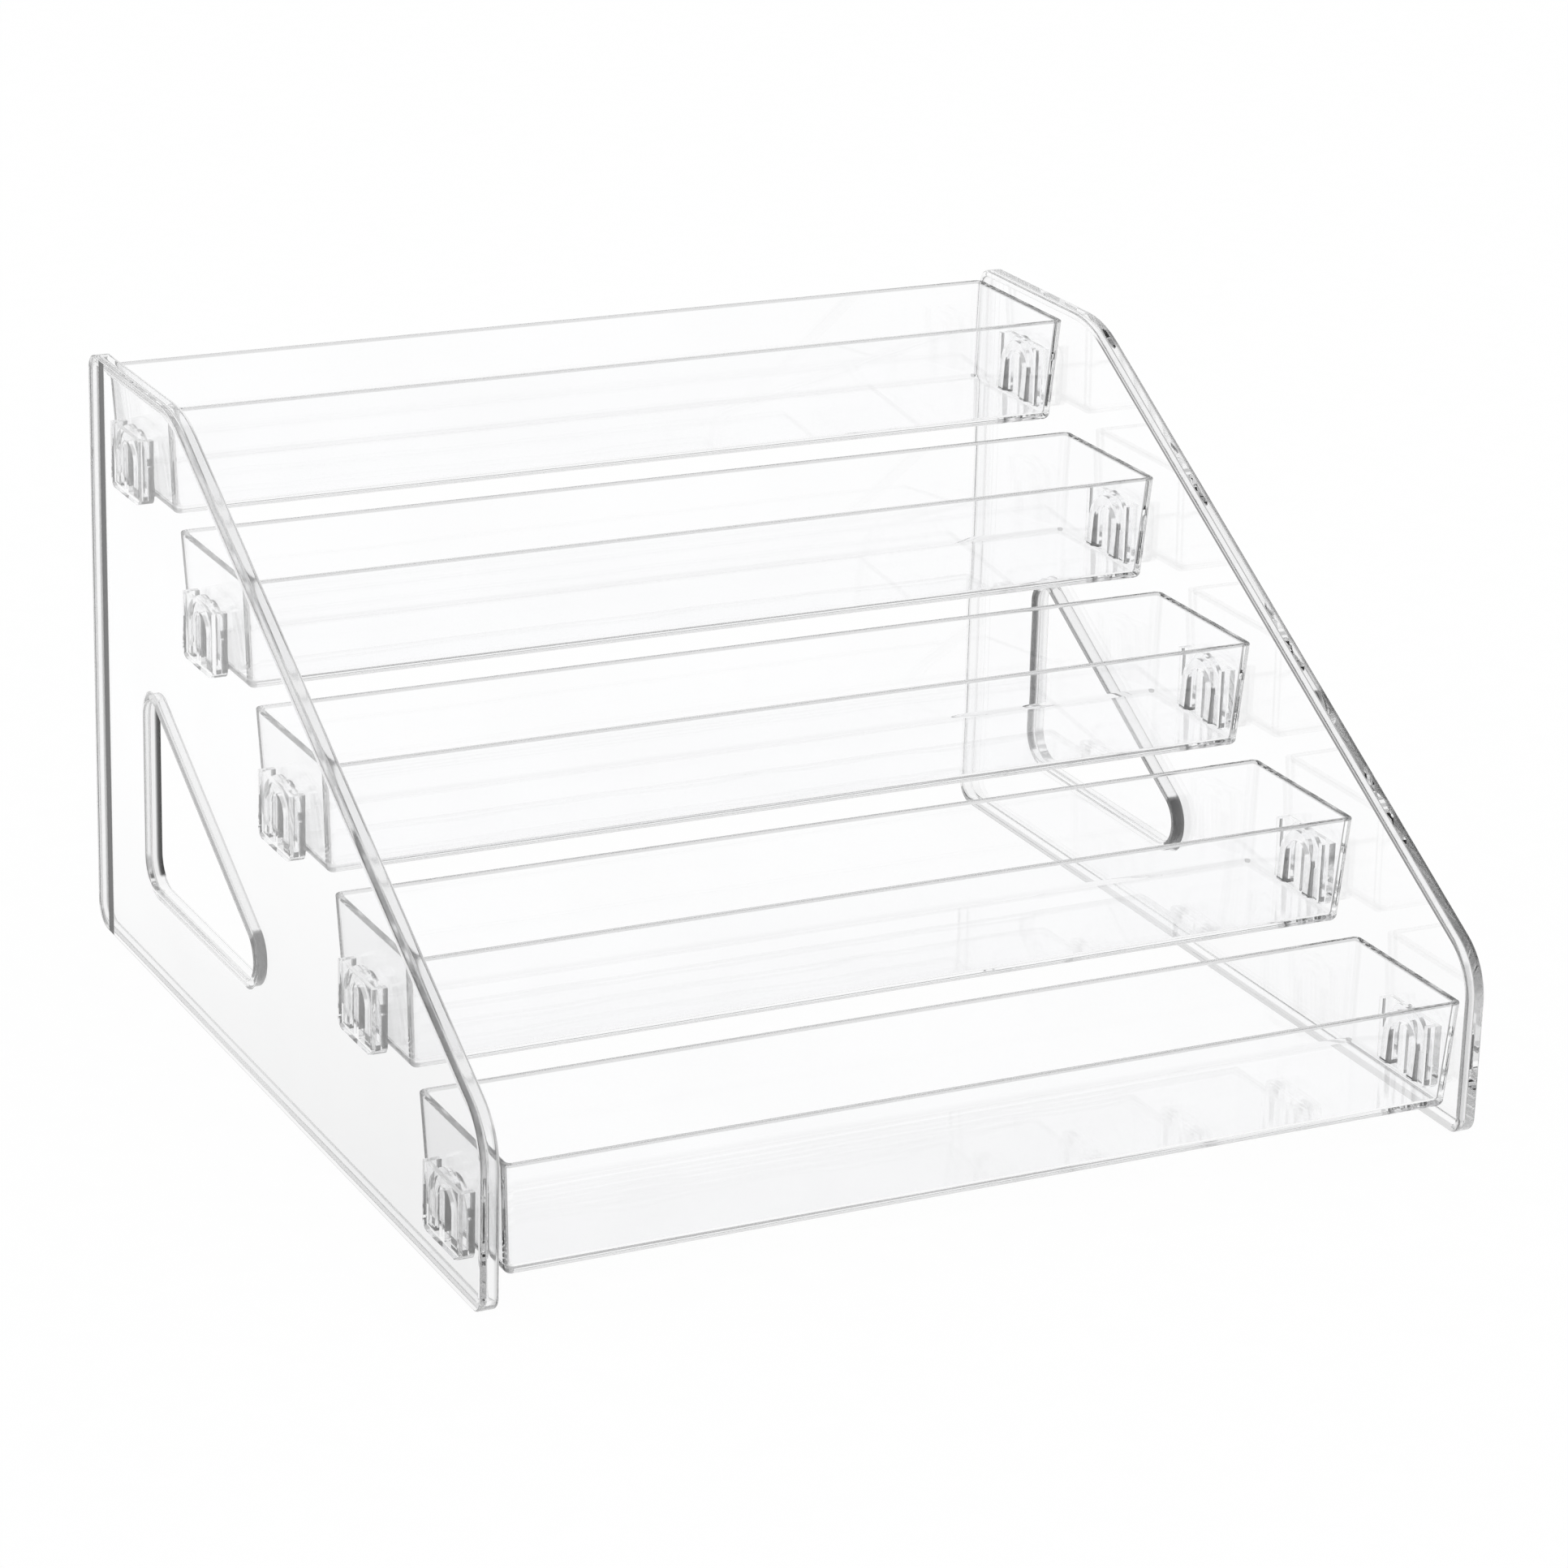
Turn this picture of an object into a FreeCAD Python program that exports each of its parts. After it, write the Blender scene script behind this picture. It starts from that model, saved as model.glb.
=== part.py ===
"""Five-tier step rack for lipsticks: two clear rimmed side panels, and five identical trays in their sockets.

Lengths are in millimetres. +Z is up, -Y is the front, and the origin is the middle of the footprint.
"""
import FreeCAD, Part
import math
import os

import Sketcher

DOC = FreeCAD.newDocument("lipstick_holder")
SHEET = DOC.addObject("Spreadsheet::Sheet", "Sizes")

TIERS = 5

# Driving sizes, each written once. Every tray is the same moulding, so one set of tray sizes serves all five.
SIZES = {
    # Trays
    "tray_length": 297.5,
    "tray_depth": 56.0,
    "tray_height": 33.0,
    "tray_draft": 1.9,
    "tray_wall": 2.0,
    "tray_floor": 2.0,
    "tray_corner_radius": 2.4,
    "tray_foot_radius": 2.0,
    "tray_inside_radius": 1.2,
    "tray_floor_bevel": 0.8,
    # How the trays are stacked in steps
    "gap_between_trays": 6.0,
    "step_over_rim": 1.8,
    "table_clearance": 9.0,
    # Side panels, around the trays: a thin plate with a rim round its inner face, all in one wall thickness
    "panel_wall": 2.2,
    "rim_depth": 5.5,
    "panel_end_gap": 1.25,
    "panel_before_trays": 1.0,
    "panel_behind_trays": 3.0,
    "panel_over_top_rim": 3.3,
    "slope_over_rims": 10.5,
    "panel_edge_break": 0.5,
    "panel_foot_front_radius": 5.0,
    "panel_foot_rear_radius": 8.0,
    "panel_top_rear_radius": 5.0,
    "slope_top_radius": 38.0,
    "slope_end_radius": 20.0,
    # Triangular window, low at the back of each panel, with a collar round it as deep as the rim
    "window_rear_margin": 46.0,
    "window_foot_margin": 29.5,
    "window_below_slope": 105.5,
    "window_top_radius": 6.5,
    "window_heel_radius": 9.0,
    "window_tip_radius": 8.0,
    # Arched hook on each tray end
    "hook_below_rim": 13.5,
    "hook_foot_lift": 1.0,
    "hook_outer_radius": 8.7,
    "hook_leg": 3.0,
    "hook_flange_overhang": 1.7,
    "hook_flange_thickness": 1.4,
    "hook_root_cover": 0.3,
    # Socket on the panel: a cup with two short inward lips and a centre post
    "socket_to_tray": 0.6,
    "socket_wall": 1.9,
    "socket_floor": 1.6,
    "socket_lip": 1.2,
    "socket_lip_height": 10.0,
    "socket_corner_radius": 3.0,
    "post_width": 3.6,
    "fit_clearance": 0.3,
}


class Size:
    """A length or angle that carries its number and the spreadsheet expression that gives it."""

    def __init__(self, text, value):
        self.text = text
        self.value = value

    @staticmethod
    def of(thing):
        return thing if isinstance(thing, Size) else Size(repr(thing), thing)

    def __add__(self, other):
        other = Size.of(other)
        return Size(f"({self.text} + {other.text})", self.value + other.value)

    def __sub__(self, other):
        other = Size.of(other)
        return Size(f"({self.text} - {other.text})", self.value - other.value)

    def __mul__(self, other):
        other = Size.of(other)
        return Size(f"({self.text} * {other.text})", self.value * other.value)

    def __truediv__(self, other):
        other = Size.of(other)
        return Size(f"({self.text} / {other.text})", self.value / other.value)

    def __neg__(self):
        return Size(f"(-1 * {self.text})", -self.value)


def fill_sheet():
    """Writes every driving size to the sheet as a plain number and returns them as Size values by name."""
    for row, (name, value) in enumerate(SIZES.items(), start=1):
        SHEET.set(f"A{row}", name)
        SHEET.set(f"B{row}", str(value))
        SHEET.setAlias(f"B{row}", name)
    DOC.recompute()
    return {name: Size(f"Sizes.{name}", value) for name, value in SIZES.items()}


S = fill_sheet()
ZERO = Size("0", 0.0)

# The steps: each tray stands behind and above the one in front of it
TIER_RUN = S["tray_depth"] + S["gap_between_trays"]
TIER_RISE = S["tray_height"] + S["step_over_rim"]
SLOPE = TIER_RISE / TIER_RUN

# The side panels, from the middle outwards: the free end of the rim, then the plate's inner face
RIM_END = S["tray_length"] / 2 + S["panel_end_gap"]
PLATE_FACE = RIM_END + S["rim_depth"] - S["panel_wall"]
STEPS_DEPTH = TIER_RUN * (TIERS - 1) + S["tray_depth"]
PANEL_DEPTH = S["panel_before_trays"] + STEPS_DEPTH + S["panel_behind_trays"]
TOP_RIM = S["table_clearance"] + TIER_RISE * (TIERS - 1) + S["tray_height"]
PANEL_HEIGHT = TOP_RIM + S["panel_over_top_rim"]
FRONT = -(PANEL_DEPTH / 2)
REAR = PANEL_DEPTH / 2
SLOPE_FOOT = S["table_clearance"] + S["tray_height"] + S["slope_over_rims"]

# The lowest tray, which the other four repeat up the slope
TRAY_FRONT = FRONT + S["panel_before_trays"]
TRAY_FOOT = S["table_clearance"]
DRAFT_SHARE = SIZES["tray_draft"] / SIZES["tray_height"]
DRAFT = Size("atan(Sizes.tray_draft / Sizes.tray_height)", math.degrees(math.atan(DRAFT_SHARE)))

# The hook, in a tray's own frame: its arch is centred on the tray's depth
HOOK_MIDDLE = S["tray_depth"] / 2
HOOK_TOP = S["tray_height"] - S["hook_below_rim"]
HOOK_CENTRE = HOOK_TOP - S["hook_outer_radius"]
HOOK_INNER_RADIUS = S["hook_outer_radius"] - S["hook_leg"]
FLANGE_RADIUS = S["hook_outer_radius"] + S["hook_flange_overhang"]

# The hook and its socket, from the middle outwards
DRAFT_AT_HOOK_TOP = S["tray_draft"] * S["hook_below_rim"] / S["tray_height"]
TRAY_END = S["tray_length"] / 2 - DRAFT_AT_HOOK_TOP
HOOK_ROOT = TRAY_END - S["tray_wall"] + S["hook_root_cover"]
SOCKET_FACE = TRAY_END + S["socket_to_tray"]
LIP_BACK = SOCKET_FACE + S["socket_lip"]
FLANGE_INNER = LIP_BACK + S["fit_clearance"]
FLANGE_OUTER = FLANGE_INNER + S["hook_flange_thickness"]
SOCKET_BACK = FLANGE_OUTER + S["fit_clearance"]


def bind(thing, prop, size):
    """Ties a property to the sheet."""
    thing.setExpression(prop, size.text)


def new_body(label):
    body = DOC.addObject("PartDesign::Body", label)
    body.Label = label
    return body


def origin_plane(body, role):
    return next(plane for plane in body.Origin.OriginFeatures if plane.Role == role)


def new_sketch(body, name, role, offset):
    """Adds a sketch on one of the body's own origin planes, moved along its normal by offset."""
    sketch = body.newObject("Sketcher::SketchObject", name)
    sketch.AttachmentSupport = [(origin_plane(body, role), "")]
    sketch.MapMode = "FlatFace"
    bind(sketch, ".AttachmentOffset.Base.z", offset)
    return sketch


def pin_along(sketch, kind, geometry, end, size):
    """Fixes a point of a sketch in one direction, from the sketch's origin."""
    number = sketch.addConstraint(Sketcher.Constraint(kind, -1, 1, geometry, end, size.value))
    bind(sketch, f"Constraints[{number}]", size)


def arc_between(start, end, centre, clockwise):
    """Returns the arc from start to end round centre. A sketch's arcs always run anticlockwise."""
    if clockwise:
        start, end = end, start
    from_angle = math.atan2(start.y - centre.y, start.x - centre.x)
    to_angle = math.atan2(end.y - centre.y, end.x - centre.x)
    circle = Part.Circle(centre, FreeCAD.Vector(0, 0, 1), start.distanceToPoint(centre))
    return Part.ArcOfCircle(circle, from_angle, to_angle)


def ends_of(stop):
    """Returns the sketcher's numbers for the start and the end of the piece that leaves a stop."""
    clockwise = len(stop) > 2 and stop[4]
    return (2, 1) if clockwise else (1, 2)


def add_outline(sketch, stops):
    """Draws one closed outline and fixes every point of it to the sheet.

    A stop is (across, up) where a line leaves it. Where an arc does, it is
    (across, up, centre across, centre up, clockwise).
    """
    first = sketch.GeometryCount
    afters = stops[1:] + stops[:1]
    for stop, after in zip(stops, afters):
        start, end = (FreeCAD.Vector(across.value, up.value, 0) for across, up in (stop[:2], after[:2]))
        if len(stop) > 2:
            centre = FreeCAD.Vector(stop[2].value, stop[3].value, 0)
            sketch.addGeometry(arc_between(start, end, centre, stop[4]), False)
        else:
            sketch.addGeometry(Part.LineSegment(start, end), False)
    for n, (stop, after) in enumerate(zip(stops, afters)):
        piece = first + n
        next_piece = first + (n + 1) % len(stops)
        start_end, far_end = ends_of(stop)
        joint = Sketcher.Constraint("Coincident", piece, far_end, next_piece, ends_of(after)[0])
        sketch.addConstraint(joint)
        pin_along(sketch, "DistanceX", piece, start_end, stop[0])
        pin_along(sketch, "DistanceY", piece, start_end, stop[1])
        if len(stop) > 2:
            pin_centre(sketch, piece, stop, after)


def pin_centre(sketch, arc, stop, after):
    """Fixes an arc's one remaining freedom: its centre slides square to the line between its ends."""
    flat = abs(after[0].value - stop[0].value) > abs(after[1].value - stop[1].value)
    if flat:
        pin_along(sketch, "DistanceY", arc, 3, stop[3])
    else:
        pin_along(sketch, "DistanceX", arc, 3, stop[2])


def pad(body, name, sketch, length, backwards=False):
    feature = body.newObject("PartDesign::Pad", name)
    feature.Profile = sketch
    feature.Reversed = backwards
    bind(feature, "Length", length)
    DOC.recompute()
    return feature


def pocket(body, name, sketch, length, backwards=False):
    feature = body.newObject("PartDesign::Pocket", name)
    feature.Profile = sketch
    feature.Reversed = backwards
    bind(feature, "Length", length)
    before = feature.BaseFeature.Shape.Volume
    DOC.recompute()
    if feature.Shape.Volume >= before:
        raise RuntimeError(f"{name} cuts nothing from {body.Label}")
    return feature


def edges_of(body, name, wanted):
    """Returns the body so far with the names of the edges that wanted(edge) picks."""
    base = body.Tip
    edges = [f"Edge{n}" for n, edge in enumerate(base.Shape.Edges, start=1) if wanted(edge)]
    if not edges:
        raise RuntimeError(f"{name} finds no edge on {body.Label}")
    return base, edges


def fillet(body, name, radius, wanted):
    picked = edges_of(body, name, wanted)
    feature = body.newObject("PartDesign::Fillet", name)
    feature.Base = picked
    bind(feature, "Radius", radius)
    DOC.recompute()


def chamfer(body, name, size, wanted):
    picked = edges_of(body, name, wanted)
    feature = body.newObject("PartDesign::Chamfer", name)
    feature.Base = picked
    bind(feature, "Size", size)
    DOC.recompute()


def round_corners(body, corners, thickness):
    """Rounds a plate's corners, given as name: (y, z, radius), along the edges that cross its thickness."""
    near = thickness.value / 2
    for name, (y, z, radius) in corners.items():
        corner = FreeCAD.Vector(0, y.value, z.value)

        def at_corner(edge):
            middle = edge.BoundBox.Center
            middle.x = 0
            return edge.BoundBox.XLength > near and middle.distanceToPoint(corner) < near

        fillet(body, name, radius, at_corner)


def add_plate(body, side):
    """The panel's outline: level foot and top, upright back, and a front slope that follows the steps."""
    slope_top = FRONT + (PANEL_HEIGHT - SLOPE_FOOT) / SLOPE
    corners = {
        "FootFront": (FRONT, ZERO, S["panel_foot_front_radius"]),
        "FootRear": (REAR, ZERO, S["panel_foot_rear_radius"]),
        "TopRear": (REAR, PANEL_HEIGHT, S["panel_top_rear_radius"]),
        "SlopeTop": (slope_top, PANEL_HEIGHT, S["slope_top_radius"]),
        "SlopeEnd": (FRONT, SLOPE_FOOT, S["slope_end_radius"]),
    }
    outline = new_sketch(body, "PlateOutline", "YZ_Plane", RIM_END * side)
    add_outline(outline, [(y, z) for y, z, radius in corners.values()])
    pad(body, "Plate", outline, S["rim_depth"], backwards=side < 0)
    round_corners(body, corners, S["rim_depth"])


def add_window(body, side):
    """The rounded triangular window, with its long side parallel to the front slope."""
    rear = REAR - S["window_rear_margin"]
    foot = S["window_foot_margin"]
    long_side_at_front = SLOPE_FOOT - S["window_below_slope"]
    tip = FRONT + (foot - long_side_at_front) / SLOPE
    top = long_side_at_front + (rear - FRONT) * SLOPE
    corners = {
        "WindowTip": (tip, foot, S["window_tip_radius"]),
        "WindowHeel": (rear, foot, S["window_heel_radius"]),
        "WindowTop": (rear, top, S["window_top_radius"]),
    }
    outline = new_sketch(body, "WindowOutline", "YZ_Plane", RIM_END * side)
    add_outline(outline, [(y, z) for y, z, radius in corners.values()])
    pocket(body, "Window", outline, S["rim_depth"], backwards=side > 0)
    round_corners(body, corners, S["rim_depth"])


def is_across(thing):
    """Whether a face or an edge lies flat in the plane of a panel, and doesn't cross its thickness."""
    return thing.BoundBox.XLength < S["panel_wall"].value / 2


def hollow_inner_face(body):
    """Hollows the inner face, and leaves a plate with a rim round it and a collar round the window."""
    base = body.Tip
    inner = [
        f"Face{n}"
        for n, face in enumerate(base.Shape.Faces, start=1)
        if is_across(face) and abs(face.BoundBox.Center.x) < PLATE_FACE.value
    ]
    feature = body.newObject("PartDesign::Thickness", "Recess")
    feature.Base = (base, inner)
    feature.Reversed = True
    bind(feature, "Value", S["panel_wall"])
    DOC.recompute()
    if feature.Shape.Volume >= base.Shape.Volume:
        raise RuntimeError(f"Recess hollows nothing in {body.Label}")


def break_plate_edges(body):
    """Bevels the outer face and the free ends of the rim and collar, but not the root of the recess."""
    root = PLATE_FACE.value
    flat = S["panel_edge_break"].value / 2

    def is_free(edge):
        return is_across(edge) and abs(abs(edge.BoundBox.Center.x) - root) > flat

    chamfer(body, "BrokenEdges", S["panel_edge_break"], is_free)


def add_socket(body, side):
    """The lowest socket: a cup with a filled back, two lips that hold the hook in, and a post in its arch."""
    middle = TRAY_FRONT + HOOK_MIDDLE
    cup_inner = FLANGE_RADIUS + S["fit_clearance"]
    left = middle - cup_inner - S["socket_wall"]
    right = middle + cup_inner + S["socket_wall"]
    seat = TRAY_FOOT + S["hook_foot_lift"]
    base = seat - S["socket_floor"]
    top = TRAY_FOOT + HOOK_TOP
    corner = S["socket_corner_radius"]
    rounded_foot = [
        (left, base + corner, left + corner, base + corner, False),
        (left + corner, base),
        (right - corner, base, right - corner, base + corner, False),
        (right, base + corner),
    ]

    back_outline = new_sketch(body, "SocketBackOutline", "YZ_Plane", PLATE_FACE * side)
    add_outline(back_outline, rounded_foot + [(right, top), (left, top)])
    back = pad(body, "SocketBack", back_outline, PLATE_FACE - SOCKET_BACK, backwards=side > 0)

    cup_outline = new_sketch(body, "CupOutline", "YZ_Plane", PLATE_FACE * side)
    add_outline(cup_outline, rounded_foot + [
        (right, top),
        (middle + cup_inner, top),
        (middle + cup_inner, seat),
        (middle - cup_inner, seat),
        (middle - cup_inner, top),
        (left, top),
    ])
    cup = pad(body, "Cup", cup_outline, PLATE_FACE - SOCKET_FACE, backwards=side > 0)

    lip_outline = new_sketch(body, "LipOutline", "YZ_Plane", LIP_BACK * side)
    lip_root = cup_inner + S["socket_wall"] / 2
    lip_edge = S["hook_outer_radius"] + S["fit_clearance"]
    lip_top = seat + S["socket_lip_height"]
    for near, far in ((-lip_root, -lip_edge), (lip_edge, lip_root)):
        add_outline(lip_outline, [
            (middle + near, seat),
            (middle + far, seat),
            (middle + far, lip_top),
            (middle + near, lip_top),
        ])
    lips = pad(body, "Lips", lip_outline, S["socket_lip"], backwards=side > 0)

    half_post = S["post_width"] / 2
    post_centre = TRAY_FOOT + HOOK_CENTRE + HOOK_INNER_RADIUS - S["fit_clearance"] - half_post
    post_foot = seat - S["socket_floor"] / 2
    post_outline = new_sketch(body, "PostOutline", "YZ_Plane", PLATE_FACE * side)
    add_outline(post_outline, [
        (middle - half_post, post_foot),
        (middle + half_post, post_foot),
        (middle + half_post, post_centre, middle, post_centre, False),
        (middle - half_post, post_centre),
    ])
    post = pad(body, "Post", post_outline, PLATE_FACE - SOCKET_FACE, backwards=side > 0)
    return [back, cup, lips, post]


def repeat_up_the_slope(body, features):
    """Repeats features once per tier along a line from the lowest tier's middle to the highest one's."""
    start = (TRAY_FRONT + HOOK_MIDDLE, TRAY_FOOT)
    end = (start[0] + TIER_RUN * (TIERS - 1), start[1] + TIER_RISE * (TIERS - 1))
    line = new_sketch(body, "TierLine", "YZ_Plane", ZERO)
    points = [FreeCAD.Vector(across.value, up.value, 0) for across, up in (start, end)]
    line.addGeometry(Part.LineSegment(*points), False)
    for number, (across, up) in enumerate((start, end), start=1):
        pin_along(line, "DistanceX", 0, number, across)
        pin_along(line, "DistanceY", 0, number, up)
    DOC.recompute()
    pattern = body.newObject("PartDesign::LinearPattern", "EveryTier")
    pattern.Originals = features
    pattern.Direction = (line, ["Edge1"])
    pattern.Mode = "Extent"
    run, rise = (size.text for size in (end[0] - start[0], end[1] - start[1]))
    pattern.setExpression("Length", f"sqrt(({run}) ^ 2 + ({rise}) ^ 2)")
    pattern.Occurrences = TIERS
    body.Tip = pattern
    DOC.recompute()


def make_panel(label, side):
    """A side panel, on the left (side -1) or the right (side 1) of the trays."""
    body = new_body(label)
    add_plate(body, side)
    add_window(body, side)
    hollow_inner_face(body)
    break_plate_edges(body)
    socket = add_socket(body, side)
    repeat_up_the_slope(body, socket)
    return body


def box_outline(half_length, front, rear):
    return [(-half_length, front), (half_length, front), (half_length, rear), (-half_length, rear)]


def draft(body, name, wanted, narrower_below):
    """Leans the walls that wanted(face) picks, from the plane of the rim down."""
    base = body.Tip
    names = [(f"Face{n}", face) for n, face in enumerate(base.Shape.Faces, start=1)]
    walls = [name for name, face in names if is_wall(face) and wanted(face)]
    rim = [name for name, face in names if is_top(face, S["tray_height"])]
    feature = body.newObject("PartDesign::Draft", name)
    feature.Base = (base, walls)
    feature.NeutralPlane = (base, rim)
    feature.Reversed = narrower_below
    bind(feature, "Angle", DRAFT)
    DOC.recompute()


def is_wall(face):
    return abs(face.normalAt(0, 0).z) < 0.5


def is_top(face, height):
    return not is_wall(face) and face.BoundBox.ZMin > height.value / 2


def add_tray_box(body):
    """The open box, drawn in towards its foot and rounded outside and in. Its front rim lies at Y = 0."""
    rim = new_sketch(body, "RimOutline", "XY_Plane", ZERO)
    add_outline(rim, box_outline(S["tray_length"] / 2, ZERO, S["tray_depth"]))
    pad(body, "Block", rim, S["tray_height"])
    draft(body, "OuterDraft", lambda face: True, True)

    wall = S["tray_wall"]
    mouth = new_sketch(body, "MouthOutline", "XY_Plane", S["tray_height"])
    add_outline(mouth, box_outline(S["tray_length"] / 2 - wall, wall, S["tray_depth"] - wall))
    pocket(body, "Inside", mouth, S["tray_height"] - S["tray_floor"])
    half_floor = S["tray_floor"].value / 2
    draft(body, "InnerDraft", lambda face: face.BoundBox.ZMin > half_floor, False)

    half_height = S["tray_height"].value / 2

    def is_foot(edge):
        return edge.BoundBox.ZMax < half_floor

    def is_outer_corner(edge):
        return edge.BoundBox.ZLength > half_height and edge.BoundBox.ZMin < half_floor

    def is_inner_corner(edge):
        return edge.BoundBox.ZLength > half_height and edge.BoundBox.ZMin > half_floor

    def is_inner_floor(edge):
        return half_floor < edge.BoundBox.ZMin and edge.BoundBox.ZMax < half_height

    fillet(body, "InnerCorners", S["tray_inside_radius"], is_inner_corner)
    chamfer(body, "InnerFloor", S["tray_floor_bevel"], is_inner_floor)
    fillet(body, "OuterCorners", S["tray_corner_radius"], is_outer_corner)
    fillet(body, "Foot", S["tray_foot_radius"], is_foot)


def arch(radius, foot):
    """The outline of an arch with straight legs, open below, for the hook's stem or its flange."""
    middle = HOOK_MIDDLE
    inner = HOOK_INNER_RADIUS
    return [
        (middle - radius, foot),
        (middle - inner, foot),
        (middle - inner, HOOK_CENTRE, middle, HOOK_CENTRE, True),
        (middle + inner, HOOK_CENTRE),
        (middle + inner, foot),
        (middle + radius, foot),
        (middle + radius, HOOK_CENTRE, middle, HOOK_CENTRE, False),
        (middle - radius, HOOK_CENTRE),
    ]


def add_hooks(body):
    """An arched stem out of the end wall, a wider arched flange on it, and the same on the other end."""
    foot = S["hook_foot_lift"]
    stem_outline = new_sketch(body, "StemOutline", "YZ_Plane", HOOK_ROOT)
    add_outline(stem_outline, arch(S["hook_outer_radius"], foot))
    stem = pad(body, "Stem", stem_outline, FLANGE_INNER - HOOK_ROOT)
    flange_outline = new_sketch(body, "FlangeOutline", "YZ_Plane", FLANGE_INNER)
    add_outline(flange_outline, arch(FLANGE_RADIUS, foot))
    flange = pad(body, "Flange", flange_outline, S["hook_flange_thickness"])

    other_end = body.newObject("PartDesign::Mirrored", "OtherEnd")
    other_end.Originals = [stem, flange]
    other_end.MirrorPlane = (origin_plane(body, "YZ_Plane"), [""])
    body.Tip = other_end
    DOC.recompute()


def make_tray(tier):
    """A tray in its place on the steps. Tier 1 is the highest and stands at the back."""
    body = new_body(f"tray_tier_{tier}")
    add_tray_box(body)
    add_hooks(body)
    steps_up = TIERS - tier
    bind(body, ".Placement.Base.y", TRAY_FRONT + TIER_RUN * steps_up)
    bind(body, ".Placement.Base.z", TRAY_FOOT + TIER_RISE * steps_up)
    return body


def check(pieces):
    """Stops on any failed object or bad shape."""
    for thing in DOC.Objects:
        if "Invalid" in thing.State or "Error" in thing.State:
            raise RuntimeError(f"{thing.Label} failed: {thing.State}")
    for piece in pieces:
        shape = piece.Shape
        if shape.isNull() or not shape.isValid() or len(shape.Solids) != 1:
            raise RuntimeError(f"{piece.Label} isn't one valid solid")


def main():
    pieces = [make_panel("side_panel_left", -1), make_panel("side_panel_right", 1)]
    pieces += [make_tray(tier) for tier in range(1, TIERS + 1)]
    DOC.recompute()
    check(pieces)
    os.makedirs("parts", exist_ok=True)
    for piece in pieces:
        piece.Shape.exportStep(f"parts/{piece.Label}.step")
        print(piece.Label, round(piece.Shape.Volume), "mm3")


main()
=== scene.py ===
"""Look of the clear plastic five-tier rack, on a white floor, in metres."""

import math

import bmesh
import bpy
from mathutils import Matrix, Vector
from mathutils.geometry import tessellate_polygon


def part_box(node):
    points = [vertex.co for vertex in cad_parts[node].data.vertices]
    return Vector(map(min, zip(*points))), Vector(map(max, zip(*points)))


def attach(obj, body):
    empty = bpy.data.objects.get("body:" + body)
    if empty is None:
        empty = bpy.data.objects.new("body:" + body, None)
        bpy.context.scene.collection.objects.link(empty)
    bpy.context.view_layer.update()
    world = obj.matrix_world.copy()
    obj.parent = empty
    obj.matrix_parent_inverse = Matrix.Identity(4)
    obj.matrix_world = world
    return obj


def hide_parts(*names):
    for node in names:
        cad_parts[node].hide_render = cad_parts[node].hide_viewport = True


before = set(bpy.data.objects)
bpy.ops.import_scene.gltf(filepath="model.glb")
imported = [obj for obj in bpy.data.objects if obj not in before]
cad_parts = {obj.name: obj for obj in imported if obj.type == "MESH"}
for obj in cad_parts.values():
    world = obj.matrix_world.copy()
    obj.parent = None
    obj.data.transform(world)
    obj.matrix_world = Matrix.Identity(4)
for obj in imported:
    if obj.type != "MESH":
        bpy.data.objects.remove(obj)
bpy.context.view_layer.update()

MM = 0.001
TIERS = 5

# Places from the frame
PANEL_LOW, PANEL_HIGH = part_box("side_panel_right")
LOW_TRAY, LOW_TRAY_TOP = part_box("tray_tier_5")
NEXT_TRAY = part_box("tray_tier_4")[0]
FRONT, REAR = PANEL_LOW.y, PANEL_HIGH.y
PANEL_TOP = PANEL_HIGH.z
RUN = NEXT_TRAY.y - LOW_TRAY.y
RISE = NEXT_TRAY.z - LOW_TRAY.z
SLOPE = RISE / RUN
TRAY_DEPTH = LOW_TRAY_TOP.y - LOW_TRAY.y
TRAY_HEIGHT = LOW_TRAY_TOP.z - LOW_TRAY.z

# Side panel: a plate with a rim round its inner face, and a collar round its window
PANEL_OUTER = PANEL_HIGH.x
RIM_END = PANEL_OUTER - 5.5 * MM
PANEL_WALL = 2.2 * MM
PLATE_FACE = PANEL_OUTER - PANEL_WALL
PANEL_SOFT = 0.6 * MM
ROOT_RADIUS = 0.8 * MM
SLOPE_FOOT = LOW_TRAY_TOP.z + 10.5 * MM
FOOT_FRONT_RADIUS = 5.0 * MM
FOOT_REAR_RADIUS = 8.0 * MM
TOP_REAR_RADIUS = 5.0 * MM
SLOPE_TOP_RADIUS = 38.0 * MM
SLOPE_END_RADIUS = 20.0 * MM
WINDOW_REAR = REAR - 46.0 * MM
WINDOW_FOOT = 29.5 * MM
WINDOW_SIDE_AT_FRONT = SLOPE_FOOT - 105.5 * MM
WINDOW_TOP_RADIUS = 6.5 * MM
WINDOW_HEEL_RADIUS = 9.0 * MM
WINDOW_TIP_RADIUS = 8.0 * MM

# Tray
TRAY_HALF = 148.75 * MM
DRAFT = 1.9 * MM
WALL = 2.0 * MM
FLOOR = 2.0 * MM
CORNER_RADIUS = 2.4 * MM
FOOT_RADIUS = 2.0 * MM
INSIDE_RADIUS = 1.2 * MM
INSIDE_FOOT_RADIUS = 1.0 * MM
RIM_SOFT = 0.6 * MM

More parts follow.
